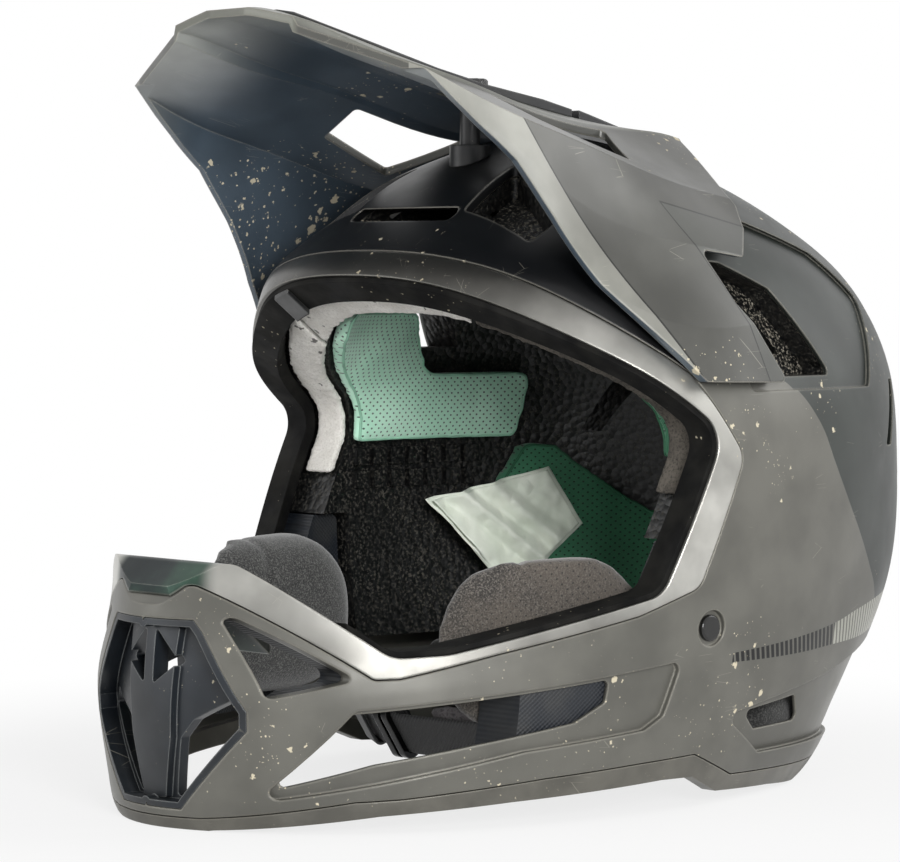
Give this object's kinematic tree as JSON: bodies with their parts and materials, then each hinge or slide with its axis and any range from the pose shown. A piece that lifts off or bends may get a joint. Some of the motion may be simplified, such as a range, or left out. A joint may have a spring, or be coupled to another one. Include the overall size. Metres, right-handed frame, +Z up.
{
  "type": "full face helmet",
  "caption": "Full face downhill helmet with visor on pivots, eyeport, vented chin bar, foam lining, pull-out cheek pads and a buckled chin strap.",
  "frame": {"origin": "on the resting plane, in the plane of symmetry, mid way between the lengthwise limits of the helmet", "axes": "+Z up, the face opening looks along -Y, +X is the wearer's left"},
  "size_m": [0.253, 0.3549, 0.2982],
  "materials": {
    "shell_paint": "matt titanium grey lacquer with fine scuffs",
    "visor_paint": "matt grey lacquer above, near black below",
    "bezel_metallic": "satin bright grey",
    "seal_rubber": "matt black",
    "trim_rubber": "matt black",
    "grille_plastic": "moulded dark grey",
    "black_gloss": "gloss black",
    "black_plastic": "moulded black",
    "foam_black": "beaded foam",
    "brow_foam": "dusty open foam",
    "pad_green": "mint green perforated fabric",
    "pad_dark": "dark grey melange fabric",
    "webbing": "woven black webbing",
    "steel": "brushed",
    "paper": "pale woven label",
    "clip_grey": "grey"
  },
  "bodies": {
    "helmet": {"outer_shell": "shell_paint", "eyeport_bezel": "bezel_metallic", "eyeport_seal": "seal_rubber", "base_trim": "trim_rubber", "mouth_grille": "grille_plastic", "side_plug_left": "black_gloss", "side_plug_right": "black_gloss", "seal_clip": "clip_grey", "eps_crown_liner": "foam_black", "eps_chin_liner": "foam_black", "eps_cheek_left": "foam_black", "eps_cheek_right": "foam_black", "brow_foam_left": "brow_foam", "brow_foam_centre": "brow_foam", "brow_foam_right": "brow_foam", "temple_pad_left": "pad_green", "temple_pad_right": "pad_green", "nape_pad_left": "pad_green", "nape_pad_right": "pad_green", "crown_pad": "pad_green", "neck_roll": "pad_dark", "label_booklet": "paper", "chin_strap_long": "webbing", "chin_strap_short": "webbing", "chin_strap_pad": "pad_dark", "d_rings": "steel", "strap_keeper": "black_plastic", "strap_anchor_left": "steel", "strap_anchor_right": "steel", "visor_post": "black_plastic", "pivot_pin_left": "black_plastic", "pivot_pin_right": "black_plastic"},
    "visor": {"visor": "visor_paint", "visor_spine_front": "black_plastic", "visor_spine_rear": "black_plastic"},
    "visor_thumbscrew": {"visor_thumbscrew": "black_plastic"},
    "cheek_pad_left": {"cheek_pad_left": "pad_dark", "cheek_studs_left": "black_plastic"},
    "cheek_pad_right": {"cheek_pad_right": "pad_dark", "cheek_studs_right": "black_plastic"}
  },
  "joints": [
    {"name": "visor_tilt", "type": "hinge", "parent": "helmet", "child": "visor", "pos_m": [0, 0.014, 0.176], "axis": [1, 0, 0], "range_deg": [-2, 7]},
    {"name": "thumbscrew_turn", "type": "hinge", "parent": "helmet", "child": "visor_thumbscrew", "pos_m": [0, -0.004, 0.27], "axis": [0, 0, 1], "continuous": true},
    {"name": "cheek_pad_left_pull", "type": "slide", "parent": "helmet", "child": "cheek_pad_left", "axis": [-1, 0, 0], "range_m": [0, 0.006]},
    {"name": "cheek_pad_right_pull", "type": "slide", "parent": "helmet", "child": "cheek_pad_right", "axis": [1, 0, 0], "range_m": [0, 0.006]}
  ]
}
